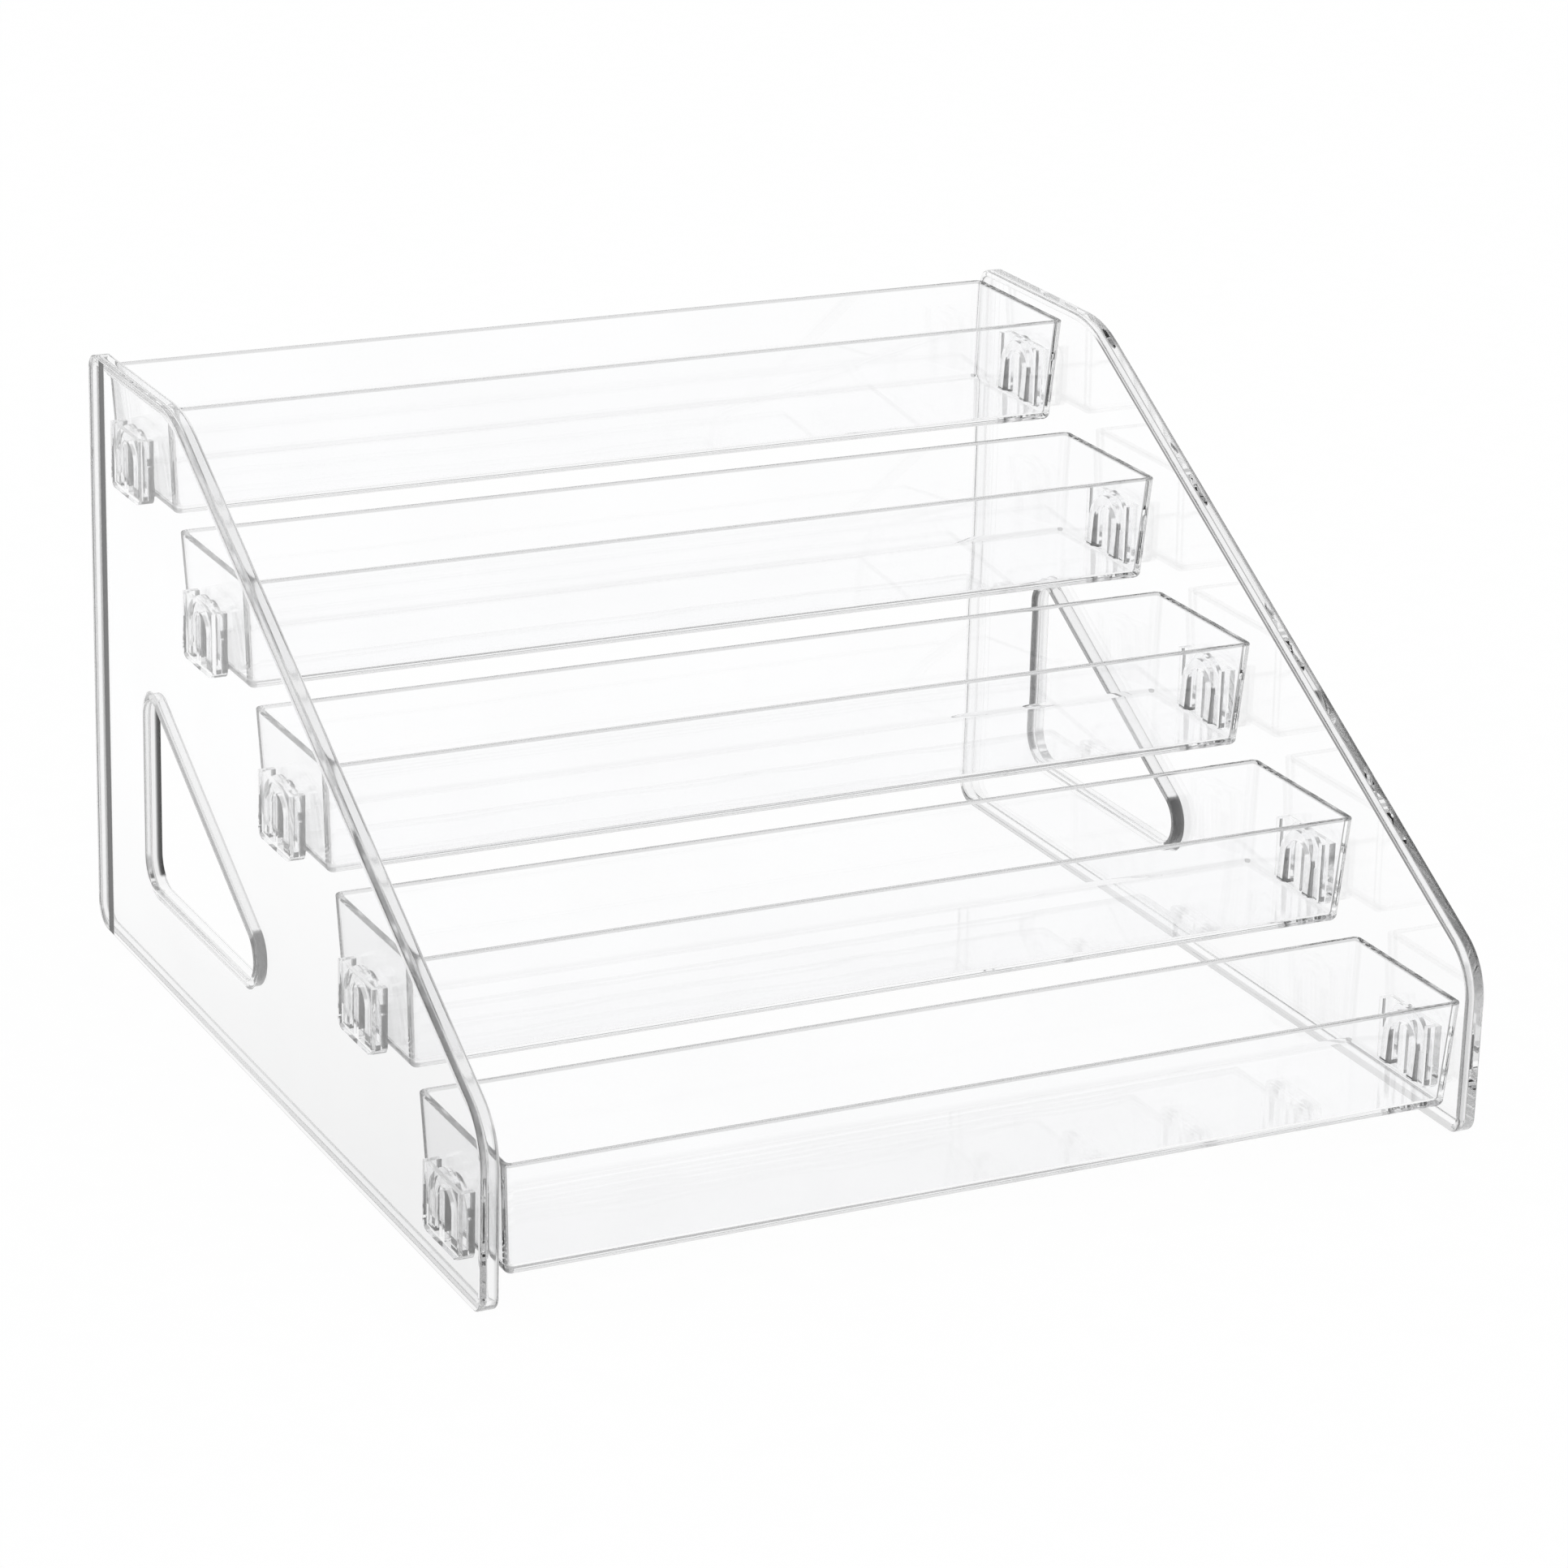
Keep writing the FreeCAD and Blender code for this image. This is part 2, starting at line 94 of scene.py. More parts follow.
# Hook and socket
CLEARANCE = 0.3 * MM
HOOK_DROP = 13.5 * MM
HOOK_TOP = TRAY_HEIGHT - HOOK_DROP
HOOK_FOOT = 1.0 * MM
HOOK_RADIUS = 8.7 * MM
HOOK_LEG = 3.0 * MM
HOOK_INNER = HOOK_RADIUS - HOOK_LEG
HOOK_CENTRE = HOOK_TOP - HOOK_RADIUS
FLANGE_RADIUS = HOOK_RADIUS + 1.7 * MM
TRAY_END = TRAY_HALF - DRAFT * HOOK_DROP / TRAY_HEIGHT
HOOK_ROOT = TRAY_END - WALL + CLEARANCE
SOCKET_FACE = TRAY_END + 0.6 * MM
LIP_BACK = SOCKET_FACE + 1.2 * MM
FLANGE_INNER = LIP_BACK + CLEARANCE
FLANGE_OUTER = FLANGE_INNER + 1.4 * MM
SOCKET_BACK = FLANGE_OUTER + CLEARANCE
SOCKET_WALL = 1.9 * MM
SOCKET_FLOOR = 1.6 * MM
SOCKET_CORNER = 3.0 * MM
LIP_HEIGHT = 10.0 * MM
POST_HALF = 1.8 * MM
SMALL_SOFT = 0.25 * MM
SUNK = 0.5 * MM
CUT_PAST = 1.0 * MM
CLIP_HALF = FLANGE_RADIUS + CLEARANCE + SOCKET_WALL + CLEARANCE

# How far a wall has to face a way to count as that wall: a cosine
FACES_REAR = 0.7
FACES_FRONT = -0.8
FACES_TIP = -0.55
FACES_UP = 0.95

# Painted shade on each wall of a panel: how much it darkens what is seen through it, in place of the
# dark lines that clear edges show
# Each stop is (depth from the rim's end in mm, darkness)
SHARED_PAINTED_SHADE = {
    "front_outer": ((0.0, 0.3), (1.2, 0.25), (1.6, 0.04), (5.5, 0.05)),
    "front_inner": ((0.0, 0.02),),
    "foot": ((0.0, 0.25), (0.6, 0.2), (1.0, 0.02), (4.7, 0.02), (5.5, 0.2)),
    "window_rear": ((0.0, 0.75), (1.2, 0.75), (1.7, 0.06), (4.9, 0.06), (5.5, 0.15)),
    "window_side": ((0.0, 0.3), (0.6, 0.04), (4.9, 0.04), (5.5, 0.3)),
    "window_foot": ((0.0, 0.03), (0.6, 0.01)),
    "window_tip": ((0.0, 0.85), (3.0, 0.8), (5.5, 0.5)),
}
# Left panel: painted shade, darkest along the rear rim
LEFT_PAINTED_SHADE = SHARED_PAINTED_SHADE | {
    "slope_outer": ((0.0, 0.08), (5.5, 0.09)),
    "slope_inner": ((0.0, 0.01),),
    "top": ((0.0, 0.02),),
    "rear_outer": ((0.0, 0.3), (1.0, 0.02), (4.5, 0.02), (4.9, 0.7), (5.5, 0.7)),
    "rear_inner": ((0.0, 0.3), (0.15, 0.97), (1.6, 0.97), (2.0, 0.03)),
}
# Right panel: painted shade along the slope's outer edge, and little at the rear
RIGHT_PAINTED_SHADE = SHARED_PAINTED_SHADE | {
    "slope_outer": ((0.0, 0.03), (4.0, 0.03), (4.4, 0.5), (5.5, 0.5)),
    "slope_inner": ((0.0, 0.01),),
    "top": ((0.0, 0.01),),
    "rear_outer": ((0.0, 0.02),),
    "rear_inner": ((0.0, 0.12), (0.4, 0.12), (0.8, 0.01), (2.6, 0.01), (3.3, 0.1)),
}
# Painted shade on the trays' soft rims, feet and foot corners
RIM_PAINTED_SHADE = 0.22
TRAY_FOOT_PAINTED_SHADE = 0.02
TRAY_CORNER_PAINTED_SHADE = 0.35
CORNER_FROM = 0.1

# Painted shade: dark bars and lines drawn by the shader: (start, end, darkness)
HOOK_SHADE_BAR = (TRAY_END - 1.1 * MM, TRAY_END + 1.1 * MM, 0.85)
SOCKET_SHADE_BAR = (SOCKET_FACE, RIM_END - 0.4 * MM, 0.6)
RIM_SHADE_LINE = (REAR - 15.0 * MM, REAR - 9.6 * MM, 0.97)
LINE_SOFT = 0.8 * MM
FACE_SLACK = 0.05 * MM
BAR_FACING = (0.96, 0.98)
LINE_GRAZING = (0.45, 0.6)

# Clear plastic
INDEX = 1.49
PANEL_TINT = (0.996, 0.997, 0.999)
TRAY_TINT = (0.995, 0.996, 0.999)
POLISH = 0.002
SMEAR_SCALE = 30.0
SMEAR_RANGE = (0.3, 0.7)
SMEAR_DARKEST = 0.99
FROST = 0.16
FROSTED_FROM = (0.03, 0.1)
RIPPLE = 0.05 * MM
RIPPLE_SCALE = 22.0

# Studio that reflections see: ranges of a direction's parts, and levels where 1 is white
SIDE_CARDS = (0.55, 0.8)
OVERHEAD_UP = (0.45, 0.6)
OVERHEAD_BACK = (0.6, 0.3)
CARD_LEVEL = 0.5
LOW_WALL = (-0.44, -0.33)
LOW_WALL_LEVEL = 0.6
TABLE = (-0.65, -0.48)
FRONT_HALF = (-0.2, 0.2)
FRONT_LEVEL = 0.96

# Floor
FLOOR_REACH = 6
FLOOR_WHITENESS = 0.98
GRAIN_SCALE = 90.0
GRAIN_RANGE = (0.2, 0.8)
GRAIN_DARKEST = 0.995

# Camera
CAMERA_PLACE = (-0.62727214, -1.26469638, 0.58764581)
CAMERA_TURN = math.radians(-26.618)
CAMERA_TILT = math.radians(90 - 19.892)
CAMERA_ROLL = math.radians(1.669)
LENS = 116.3
SENSOR = 36
CAMERA_SIGHT = 20

# Light passes many clear walls
BOUNCES = 64

# Roundness of drawn curves, and which edges count as sharp
COARSE_STEP = math.radians(6)
SOFTENED_FROM = math.radians(40)
SHARP_FROM = math.radians(30)
# Spacing of the rim's rings along its depth, so the painted shade can change across it
PAINTED_SHADE_STEP = 0.4 * MM
FINE_SHARES = [k / 6 for k in range(7)]


def painted_shade_layer(bm):
    """The layer that holds the painted shade: how much a place darkens what is seen through it."""
    layers = bm.verts.layers.float
    return layers.get("painted_shade") or layers.new("painted_shade")


def mesh_object(name, bm):
    bmesh.ops.recalc_face_normals(bm, faces=bm.faces)
    mesh = bpy.data.meshes.new(name)
    bm.to_mesh(mesh)
    bm.free()
    made = bpy.data.objects.new(name, mesh)
    bpy.context.scene.collection.objects.link(made)
    return made


def rounded(corners):
    """Points of a convex outline, anticlockwise, each with the direction that faces out of it there.

    A corner is (across, up, radius).
    """
    out = []
    for n, (across, up, radius) in enumerate(corners):
        corner = Vector((across, up))
        to_last = (Vector(corners[n - 1][:2]) - corner).normalized()
        to_next = (Vector(corners[(n + 1) % len(corners)][:2]) - corner).normalized()
        half = to_last.angle(to_next) / 2
        centre = corner + (to_last + to_next).normalized() * radius / math.sin(half)
        start = corner + to_last * radius / math.tan(half) - centre
        first = math.atan2(start.y, start.x)
        sweep = math.pi - 2 * half
        count = math.ceil(sweep / COARSE_STEP)
        for k in range(count + 1):
            angle = first + sweep * k / count
            facing = Vector((math.cos(angle), math.sin(angle)))
            out.append((centre + facing * radius, facing))
    return out


def arc(centre, radius, start, end):
    """Points from start to end, in quarter turns, round a centre."""
    count = math.ceil(abs(end - start) * math.pi / 2 / COARSE_STEP)
    angles = [(start + (end - start) * k / count) * math.pi / 2 for k in range(count + 1)]
    return [centre + Vector((math.cos(a), math.sin(a))) * radius for a in angles]


def strip(bm, ring, next_ring):
    """Faces between two rings of as many points. One with fewer than three corners is left out."""
    for n in range(len(ring)):
        m = (n + 1) % len(ring)
        corners = [ring[n], ring[m], next_ring[m], next_ring[n]]
        kept = list(dict.fromkeys(corners))
        if len(kept) > 2:
            bm.faces.new(kept)


def cap(bm, *rings):
    """Closes a flat outline, with any holes in it."""
    points = [v for ring in rings for v in ring]
    for triangle in tessellate_polygon([[v.co for v in ring] for ring in rings]):
        bm.faces.new([points[n] for n in triangle])


def quarter(radius):
    """(along, inset) from the flat to the side of an edge rounded to radius."""
    turns = [share * math.pi / 2 for share in FINE_SHARES]
    return [(radius * (1 - math.cos(a)), radius * (1 - math.sin(a))) for a in turns]


def prism(bm, outline, near, far):
    """A straight solid along X from an outline of (y, z) points."""
    rings = [[bm.verts.new((x, p.x, p.y)) for p in outline] for x in (near, far)]
    strip(bm, *rings)
    for ring in rings:
        cap(bm, ring)


def painted_shade_at(stops, depth):
    """Painted shade at a depth, straight between stops."""
    last_depth, last_shade = stops[0]
    for stop_depth, stop_shade in stops:
        if depth < stop_depth:
            share = (depth - last_depth) / (stop_depth - last_depth)
            return last_shade + (stop_shade - last_shade) * share
        last_depth, last_shade = stop_depth, stop_shade
    return last_shade


def wall_name(wall, facing, in_window):
    """Which wall of the panel this is, by the way it faces in the panel's plane."""
    if in_window:
        if facing.x > FACES_REAR:
            return "window_rear"
        if facing.x < FACES_TIP:
            return "window_tip"
        return "window_foot" if facing.y < 0 else "window_side"
    if facing.x > FACES_REAR:
        return f"rear_{wall}"
    if facing.x < FACES_FRONT:
        return f"front_{wall}"
    if facing.y > FACES_UP:
        return "top"
    return f"slope_{wall}" if facing.y > 0 else "foot"


def between(start, end):
    """Even places between two ends, without the ends."""
    count = math.ceil(abs(end - start) / PAINTED_SHADE_STEP)
    return [start + (end - start) * k / count for k in range(1, count)]


def edge_profile():
    """(x, inset, wall) round the panel's edge: outer face, rim's end, then the plate's inner face."""
    soft = quarter(PANEL_SOFT)
    root = quarter(ROOT_RADIUS)
    out = [(PANEL_OUTER - along, inset, "outer") for along, inset in soft]
    out += [(x, 0, "outer") for x in between(PANEL_OUTER - PANEL_SOFT, RIM_END + PANEL_SOFT)]
    out += [(RIM_END + along, inset, "outer") for along, inset in reversed(soft)]
    out += [(RIM_END + along, PANEL_WALL - inset, "inner") for along, inset in soft]
    out += [(x, PANEL_WALL, "inner") for x in between(RIM_END + PANEL_SOFT, PLATE_FACE - ROOT_RADIUS)]
    out += [(PLATE_FACE - along, PANEL_WALL + inset, "inner") for along, inset in reversed(root)]
    return out


def edge_rings(bm, points, side, painted_shades):
    """Rings round one outline of the panel, with painted shade on the rim's walls. The flat faces stay
    clear.
    """
    painted_shade = painted_shade_layer(bm)
    profile = edge_profile()
    rings = []
    for n, (x, inset, wall) in enumerate(profile):
        flat = n in (0, len(profile) - 1)
        ring = []
        for p, facing in points:
            place = p + facing * inset * side
            vert = bm.verts.new((x, place.x, place.y))
            if not flat:
                vert[painted_shade] = painted_shade_at(painted_shades[wall_name(wall, facing, side > 0)], (x - RIM_END) / MM)
            ring.append(vert)
        rings.append(ring)
    for ring, next_ring in zip(rings, rings[1:]):
        strip(bm, ring, next_ring)
    return rings


def plate(painted_shades):
    """The right panel with its rim, its window and the window's collar, in soft edges."""
    slope_top = FRONT + (PANEL_TOP - SLOPE_FOOT) / SLOPE
    tip = FRONT + (WINDOW_FOOT - WINDOW_SIDE_AT_FRONT) / SLOPE
    top = WINDOW_SIDE_AT_FRONT + (WINDOW_REAR - FRONT) * SLOPE
    outline = rounded([
        (FRONT, 0, FOOT_FRONT_RADIUS),
        (REAR, 0, FOOT_REAR_RADIUS),
        (REAR, PANEL_TOP, TOP_REAR_RADIUS),
        (slope_top, PANEL_TOP, SLOPE_TOP_RADIUS),
        (FRONT, SLOPE_FOOT, SLOPE_END_RADIUS),
    ])
    window = rounded([
        (tip, WINDOW_FOOT, WINDOW_TIP_RADIUS),
        (WINDOW_REAR, WINDOW_FOOT, WINDOW_HEEL_RADIUS),
        (WINDOW_REAR, top, WINDOW_TOP_RADIUS),
    ])
    bm = bmesh.new()
    outer = edge_rings(bm, outline, -1, painted_shades)
    inner = edge_rings(bm, window, 1, painted_shades)
    cap(bm, outer[0], inner[0])
    cap(bm, outer[-1], inner[-1])
    return mesh_object("plate", bm)


def tier_places():
    """Middle of each tier's hook across, and the foot of its tray."""
    middle = LOW_TRAY.y + TRAY_DEPTH / 2
    return [Vector((middle + RUN * n, LOW_TRAY.z + RISE * n)) for n in range(TIERS)]


def soften(piece, size):
    """Rounds a piece's sharp edges a little."""
    bm = bmesh.new()
    bm.from_mesh(piece.data)
    sharp = [e for e in bm.edges if len(e.link_faces) == 2 and e.calc_face_angle() > SOFTENED_FROM]
    bmesh.ops.bevel(
        bm, geom=sharp, offset=size, segments=2, profile=0.5, affect="EDGES", clamp_overlap=True
    )
    bm.to_mesh(piece.data)
    bm.free()
    return piece


def cup_outline():
    """The socket's outline, with two rounded corners at its foot, round a tier's place."""
    outer = FLANGE_RADIUS + CLEARANCE + SOCKET_WALL
    base = HOOK_FOOT - SOCKET_FLOOR
    out = arc(Vector((-outer + SOCKET_CORNER, base + SOCKET_CORNER)), SOCKET_CORNER, 2, 3)
    out += arc(Vector((outer - SOCKET_CORNER, base + SOCKET_CORNER)), SOCKET_CORNER, 3, 4)
    return out + [Vector((outer, HOOK_TOP)), Vector((-outer, HOOK_TOP))]


def slot_outline():
    """The room inside the cup, open above, with the post left standing in it."""
    inner = FLANGE_RADIUS + CLEARANCE
    seat = HOOK_FOOT
    above = HOOK_TOP + CUT_PAST
    post_centre = HOOK_CENTRE + HOOK_INNER - CLEARANCE - POST_HALF
    out = [Vector((-inner, above)), Vector((-inner, seat)), Vector((-POST_HALF, seat))]
    out += arc(Vector((0, post_centre)), POST_HALF, 2, 0)
    return out + [Vector((POST_HALF, seat)), Vector((inner, seat)), Vector((inner, above))]


def cup():
    """One open-topped socket on a filled back, with a short lip on each wall."""
    block, room, lips = bmesh.new(), bmesh.new(), bmesh.new()
    prism(block, cup_outline(), PLATE_FACE + SUNK, SOCKET_FACE)
    prism(room, slot_outline(), SOCKET_BACK, SOCKET_FACE - CUT_PAST)
    near = HOOK_RADIUS + CLEARANCE
    far = FLANGE_RADIUS + CLEARANCE + SUNK
    for left, right in ((-far, -near), (near, far)):
        corners = [(left, -SUNK), (right, -SUNK), (right, LIP_HEIGHT), (left, LIP_HEIGHT)]
        prism(lips, [Vector((across, HOOK_FOOT + up)) for across, up in corners], LIP_BACK, SOCKET_FACE)
    hollow = fuse(mesh_object("cup", block), mesh_object("room", room), "DIFFERENCE")
    return soften(fuse(hollow, mesh_object("lips", lips), "UNION"), SMALL_SOFT)


def sockets():
    """The same cup at every tier."""
    one = cup()
    every = []
    for place in tier_places():
        mesh = one.data.copy()
        mesh.transform(Matrix.Translation((0, place.x, place.y)))
        made = bpy.data.objects.new("socket", mesh)
        bpy.context.scene.collection.objects.link(made)
        every.append(made)
    bpy.data.objects.remove(one)
    return every


def fuse(base, other, operation):
    """Applies one boolean and removes the other piece."""
    step = base.modifiers.new("fuse", "BOOLEAN")
    step.operation = operation
    step.solver = "EXACT"
    step.object = other
    bpy.context.view_layer.update()
    fused = bpy.data.meshes.new_from_object(base.evaluated_get(bpy.context.evaluated_depsgraph_get()))
    base.modifiers.clear()
    base.data = fused
    bpy.data.objects.remove(other)
    return base


def clear_clips(piece, places):
    """Takes the painted shade off the clips, which a boolean spreads over them."""
    bm = bmesh.new()
    bm.from_mesh(piece.data)
    painted_shade = painted_shade_layer(bm)
    for vert in bm.verts:
        for place in places:
            across, up = vert.co.y - place.x, vert.co.z - place.y
            if abs(across) < CLIP_HALF and -SOCKET_FLOOR < up < HOOK_CENTRE + CLIP_HALF:
                vert[painted_shade] = 0
    bm.to_mesh(piece.data)
    bm.free()


def smooth(piece):
    """Smooth curves, sharp edges, and flat faces that stay flat."""
    mesh = piece.data
    mesh.polygons.foreach_set("use_smooth", [True] * len(mesh.polygons))
    mesh.set_sharp_from_angle(angle=SHARP_FROM)
    weighted = piece.modifiers.new("flat faces", "WEIGHTED_NORMAL")
    weighted.keep_sharp = True
    weighted.weight = 100


def mirror(piece):
    """Turns a right piece into a left one."""
    piece.data.transform(Matrix.Scale(-1, 4, Vector((1, 0, 0))))
    piece.data.flip_normals()


def tray_rings(bm, levels):
    """Rings of a box with rounded corners.

    Each level is (height, inset from the rim's outer edge, corner radius, painted shade, painted shade
    in the corners).
    """
    painted_shade = painted_shade_layer(bm)
    rings = []
    for height, inset, radius, plain, corner in levels:
        half = TRAY_HALF - inset
        front, rear = inset, TRAY_DEPTH - inset
        places = ((-half, front), (half, front), (half, rear), (-half, rear))
        points = rounded([(across, along, radius) for across, along in places])
        ring = []
        for p, facing in points:
            vert = bm.verts.new((p.x, p.y, height))
            in_corner = abs(facing.x * facing.y) > CORNER_FROM
            vert[painted_shade] = corner if in_corner else plain
            ring.append(vert)
        rings.append(ring)
    return rings


def lean(height):
    """How far a wall has drawn in at a height."""
    return DRAFT * (TRAY_HEIGHT - height) / TRAY_HEIGHT


def tray_box():
    """One box with drawn in walls, rounded corners and a soft rim, with its front rim at Y = 0."""
    bm = bmesh.new()
    rim_end = TRAY_HEIGHT - RIM_SOFT
    plain_from = rim_end - SMALL_SOFT
    outside = []
    # The soft rim and the rounded foot carry painted shade
    for along, inset in quarter(RIM_SOFT):
        outside.append((TRAY_HEIGHT - along, inset, CORNER_RADIUS - inset, RIM_PAINTED_SHADE, RIM_PAINTED_SHADE))
    outside.append((plain_from, lean(rim_end), CORNER_RADIUS, 0, 0))
    outside.append((FOOT_RADIUS + SMALL_SOFT, lean(FOOT_RADIUS), CORNER_RADIUS, 0, 0))
    for along, inset in reversed(quarter(FOOT_RADIUS)):
        level = (along, lean(along) + inset, CORNER_RADIUS - inset)
        outside.append(level + ((0, 0) if along == 0 else (TRAY_FOOT_PAINTED_SHADE, TRAY_CORNER_PAINTED_SHADE)))
    inside = []
    for along, inset in quarter(RIM_SOFT):
        inside.append((TRAY_HEIGHT - along, WALL - inset, INSIDE_RADIUS + inset, RIM_PAINTED_SHADE, RIM_PAINTED_SHADE))
    inside.append((plain_from, WALL + lean(rim_end), INSIDE_RADIUS, 0, 0))
    for along, inset in reversed(quarter(INSIDE_FOOT_RADIUS)):
        height = FLOOR + along
        inside.append((height, WALL + lean(height) + inset, INSIDE_RADIUS - inset, 0, 0))
    outer = tray_rings(bm, outside)
    inner = tray_rings(bm, inside)
    for rings in (outer, inner):
        for ring, next_ring in zip(rings, rings[1:]):
            strip(bm, ring, next_ring)
    strip(bm, outer[0], inner[0])
    cap(bm, outer[-1])
    cap(bm, inner[-1])
    return mesh_object("box", bm)


def arch(radius):
    """The outline of an arch with straight legs."""
    middle = Vector((TRAY_DEPTH / 2, HOOK_CENTRE))
    foot = HOOK_FOOT - HOOK_CENTRE
    outer = arc(Vector((0, 0)), radius, 0, 2)
    inner = arc(Vector((0, 0)), HOOK_INNER, 2, 0)
    points = [Vector((radius, foot))] + outer + [Vector((-radius, foot))]
    points += [Vector((-HOOK_INNER, foot))] + inner + [Vector((HOOK_INNER, foot))]
    return [p + middle for p in points]


def hooks():
    """Both hooks of a tray: a stem that steps out to a wider flange."""
    bm = bmesh.new()
    for side in (-1, 1):
        rings = []
        for x, radius in (
            (HOOK_ROOT, HOOK_RADIUS),
            (FLANGE_INNER, HOOK_RADIUS),
            (FLANGE_INNER, FLANGE_RADIUS),
            (FLANGE_OUTER, FLANGE_RADIUS),
        ):
            rings.append([bm.verts.new((side * x, p.x, p.y)) for p in arch(radius)])
        for ring, next_ring in zip(rings, rings[1:]):
            strip(bm, ring, next_ring)
        cap(bm, rings[0])
        cap(bm, rings[-1])
    bmesh.ops.remove_doubles(bm, verts=bm.verts, dist=0.001 * MM)
    return mesh_object("hooks", bm)


class Nodes:
    """A short way to add and link shader nodes."""

    def __init__(self, tree):
        self.tree = tree

    def add(self, kind, **inputs):
        node = self.tree.nodes.new(kind)
        for name, value in inputs.items():
            self.put(node.inputs[name.replace("_", " ")], value)
        return node

    def put(self, socket, value):
        if isinstance(value, bpy.types.NodeSocket):
            self.tree.links.new(value, socket)
        else:
            socket.default_value = value

    def math(self, operation, *values):
        node = self.tree.nodes.new("ShaderNodeMath")
        node.operation = operation
        for socket, value in zip(node.inputs, values):
            self.put(socket, value)
        return node.outputs[0]

    def step(self, value, low, high, to_low=0.0, to_high=1.0):
        node = self.tree.nodes.new("ShaderNodeMapRange")
        node.interpolation_type = "SMOOTHSTEP"
        for socket, put in zip(node.inputs, (value, low, high, to_low, to_high)):
            self.put(socket, put)
        return node.outputs[0]


def painted_shade_bars(make, place, near, far, darkness):
    """Painted shade: dark bars up the faces that look along Y, between two distances from the middle.
    """
    across = make.math("ABSOLUTE", make.add("ShaderNodeSeparateXYZ", Vector=place).outputs["X"])
    past_near = make.math("GREATER_THAN", across, near)
    band = make.math("MULTIPLY", past_near, make.math("LESS_THAN", across, far))
    normal = make.add("ShaderNodeTexCoord").outputs["Normal"]
    along = make.math("ABSOLUTE", make.add("ShaderNodeSeparateXYZ", Vector=normal).outputs["Y"])
    return make.math("MULTIPLY", band, make.step(along, *BAR_FACING, 0.0, darkness))


def painted_rim_shade_line(make, place, near, far, darkness):
    """Painted shade: a dark line in place of the rear rim seen through the plate, drawn where its outer
    face is looked along.
    """
    split = make.add("ShaderNodeSeparateXYZ", Vector=place)
    across = make.math("ABSOLUTE", split.outputs["X"])
    outer = make.math("GREATER_THAN", across, PANEL_OUTER - FACE_SLACK)
    start = make.step(split.outputs["Y"], near, near + LINE_SOFT)
    end = make.step(split.outputs["Y"], far, far - LINE_SOFT)
    facing = make.add("ShaderNodeLayerWeight", Blend=0.5).outputs["Facing"]
    line = make.math("MULTIPLY", make.math("MULTIPLY", outer, start), end)
    return make.math("MULTIPLY", line, make.step(facing, *LINE_GRAZING, 0.0, darkness))


def clear_plastic(name, tint, shade_bar):
    """Clear moulded plastic with frosted edges that carry painted shade, painted dark bars and a rim
    line, a slight ripple and faint smears.
    """
    material = bpy.data.materials.new(name)
    material.use_nodes = True
    make = Nodes(material.node_tree)
    shader = material.node_tree.nodes["Principled BSDF"]
    shader.inputs["IOR"].default_value = INDEX
    shader.inputs["Transmission Weight"].default_value = 1.0
    place = make.add("ShaderNodeTexCoord").outputs["Object"]
    # Painted shade, from the mesh layer and the shader's bars and line, darkens the colour and frosts
    # it
    painted = material.node_tree.nodes.new("ShaderNodeAttribute")
    painted.attribute_name = "painted_shade"
    shade_bars = make.math("MAXIMUM", painted_shade_bars(make, place, *shade_bar), painted_rim_shade_line(make, place, *RIM_SHADE_LINE))
    painted_shade = make.math("MAXIMUM", painted.outputs["Fac"], shade_bars)

    cloud = make.add("ShaderNodeTexNoise", Vector=place, Scale=SMEAR_SCALE, Detail=2.0).outputs["Fac"]
    clear = make.math("POWER", make.math("SUBTRACT", 1.0, painted_shade), 2.0)
    level = make.math("MULTIPLY", clear, make.step(cloud, *SMEAR_RANGE, SMEAR_DARKEST, 1.0))
    red, green, blue = (make.math("MULTIPLY", level, part) for part in tint)
    colour = make.add("ShaderNodeCombineColor", Red=red, Green=green, Blue=blue)
    make.put(shader.inputs["Base Color"], colour.outputs[0])
    polished = make.step(cloud, *SMEAR_RANGE, POLISH, POLISH * 2)
    frosted = make.step(painted_shade, *FROSTED_FROM, 0.0, FROST)
    make.put(shader.inputs["Roughness"], make.math("ADD", polished, frosted))

    ripple = make.add("ShaderNodeTexNoise", Vector=place, Scale=RIPPLE_SCALE, Detail=1.0).outputs["Fac"]
    bump = make.add("ShaderNodeBump", Height=ripple, Distance=RIPPLE, Strength=1.0)
    make.put(shader.inputs["Normal"], bump.outputs[0])
    return material


def make_panel(name, node, painted_shades, plastic, left):
    """One side panel with its five sockets."""
    panel = plate(painted_shades)
    for socket in sockets():
        fuse(panel, socket, "UNION")
    clear_clips(panel, tier_places())
    panel.name = name
    if left:
        mirror(panel)
    smooth(panel)
    panel.data.materials.append(plastic)
    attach(panel, "frame")
    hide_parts(node)


def tray_mesh(plastic):
    """The box and its hooks as one moulding, which every tier shares."""
    first = fuse(tray_box(), soften(hooks(), SMALL_SOFT), "UNION")
    clear_clips(first, [Vector((TRAY_DEPTH / 2, 0))])
    mesh = first.data
    mesh.materials.append(plastic)
    bpy.data.objects.remove(first)
    return mesh


def make_tray(tier, mesh):
    steps = TIERS - tier
    tray = bpy.data.objects.new(f"tray_{tier}", mesh)
    bpy.context.scene.collection.objects.link(tray)
    tray.location = (0, LOW_TRAY.y + RUN * steps, LOW_TRAY.z + RISE * steps)
    smooth(tray)
    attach(tray, f"tier_{tier}")
    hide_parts(f"tray_tier_{tier}")


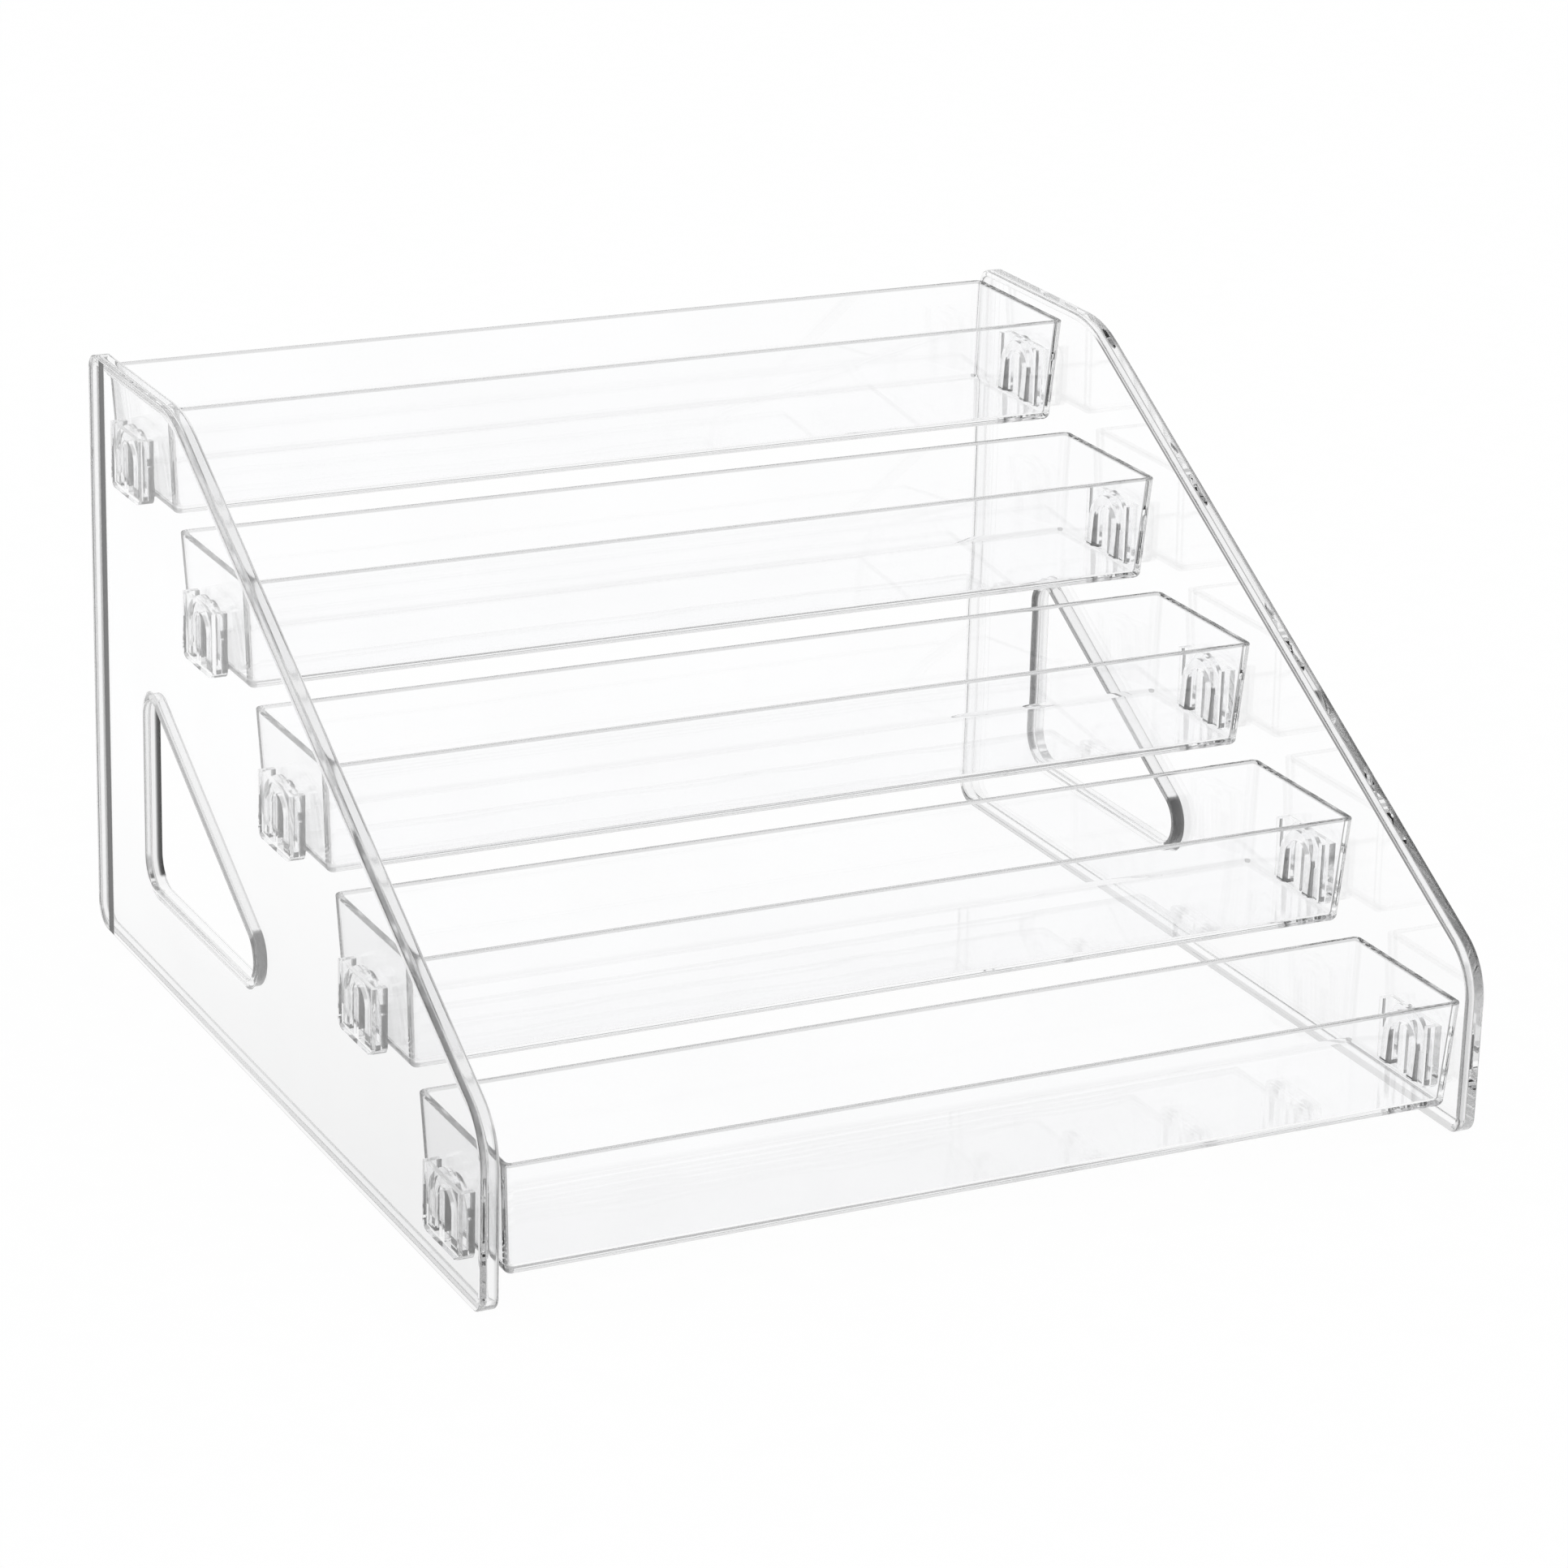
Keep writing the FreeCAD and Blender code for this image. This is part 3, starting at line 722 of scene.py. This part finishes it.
def studio_world():
    """See-through paths are white, and reflected ones see the studio."""
    world = bpy.data.worlds.new("studio")
    bpy.context.scene.world = world
    world.use_nodes = True
    make = Nodes(world.node_tree)
    background = world.node_tree.nodes["Background"]
    background.inputs["Color"].default_value = (1, 1, 1, 1)
    direction = make.add("ShaderNodeTexCoord").outputs["Generated"]
    split = make.add("ShaderNodeSeparateXYZ", Vector=direction)
    sideways = make.math("ABSOLUTE", split.outputs["X"])
    back, above = split.outputs["Y"], split.outputs["Z"]
    overhead = make.math("MULTIPLY", make.step(above, *OVERHEAD_UP), make.step(back, *OVERHEAD_BACK))
    cards = make.math("MAXIMUM", make.step(sideways, *SIDE_CARDS), overhead)
    low_wall = make.step(above, *LOW_WALL, LOW_WALL_LEVEL, 1.0)
    low = make.math("MAXIMUM", low_wall, make.step(above, *TABLE, 1.0, 0.0))
    room = make.math("MAXIMUM", low, make.step(back, *FRONT_HALF, FRONT_LEVEL, 0.0))
    studio = make.math("MULTIPLY", make.step(cards, 0.0, 1.0, 1.0, CARD_LEVEL), room)
    reflected = make.math("GREATER_THAN", make.add("ShaderNodeLightPath").outputs["Glossy Depth"], 0.5)
    level = make.add("ShaderNodeMix", Factor=reflected, A=1.0, B=studio)
    make.put(background.inputs["Strength"], level.outputs[0])


def pale_floor():
    """A white floor that keeps the rack's faint shadow. Reflections pass it and see the studio."""
    bm = bmesh.new()
    bmesh.ops.create_grid(bm, x_segments=1, y_segments=1, size=FLOOR_REACH)
    floor = mesh_object("floor", bm)
    material = bpy.data.materials.new("floor_white")
    material.use_nodes = True
    make = Nodes(material.node_tree)
    output = material.node_tree.nodes["Material Output"]
    material.node_tree.nodes.remove(material.node_tree.nodes["Principled BSDF"])
    place = make.add("ShaderNodeTexCoord").outputs["Object"]
    grain = make.add("ShaderNodeTexNoise", Vector=place, Scale=GRAIN_SCALE, Detail=3.0).outputs["Fac"]
    shade = make.step(grain, *GRAIN_RANGE, GRAIN_DARKEST, 1.0)
    colour = make.add("ShaderNodeCombineColor", Red=shade, Green=shade, Blue=shade)
    paint = make.add("ShaderNodeBsdfDiffuse", Color=colour.outputs[0])
    white = make.add("ShaderNodeEmission", Color=colour.outputs[0], Strength=1.0)
    pale = make.add("ShaderNodeMixShader", Fac=FLOOR_WHITENESS)
    make.put(pale.inputs[1], paint.outputs[0])
    make.put(pale.inputs[2], white.outputs[0])
    clear = make.add("ShaderNodeBsdfTransparent")
    reflected = make.math("GREATER_THAN", make.add("ShaderNodeLightPath").outputs["Glossy Depth"], 0.5)
    seen = make.add("ShaderNodeMixShader", Fac=reflected)
    make.put(seen.inputs[1], pale.outputs[0])
    make.put(seen.inputs[2], clear.outputs[0])
    make.put(output.inputs["Surface"], seen.outputs[0])
    floor.data.materials.append(material)


def photo_camera():
    """The camera at the photo's viewing angle."""
    camera = bpy.data.objects.new("camera", bpy.data.cameras.new("camera"))
    bpy.context.scene.collection.objects.link(camera)
    camera.data.lens = LENS
    camera.data.sensor_width = SENSOR
    camera.data.clip_end = CAMERA_SIGHT
    turn = Matrix.Rotation(CAMERA_TURN, 4, "Z")
    tilt = Matrix.Rotation(CAMERA_TILT, 4, "X")
    roll = Matrix.Rotation(CAMERA_ROLL, 4, "Z")
    camera.matrix_world = Matrix.Translation(CAMERA_PLACE) @ turn @ tilt @ roll
    bpy.context.scene.camera = camera


panel_plastic = clear_plastic("panel_clear", PANEL_TINT, SOCKET_SHADE_BAR)
tray_plastic = clear_plastic("tray_clear", TRAY_TINT, HOOK_SHADE_BAR)
make_panel("panel_right", "side_panel_right", RIGHT_PAINTED_SHADE, panel_plastic, False)
make_panel("panel_left", "side_panel_left", LEFT_PAINTED_SHADE, panel_plastic, True)
shared_tray = tray_mesh(tray_plastic)
for tier in range(1, TIERS + 1):
    make_tray(tier, shared_tray)
studio_world()
pale_floor()
photo_camera()

scene = bpy.context.scene
scene.view_settings.view_transform = "Standard"
scene.cycles.max_bounces = BOUNCES
scene.cycles.transmission_bounces = BOUNCES
scene.cycles.glossy_bounces = BOUNCES
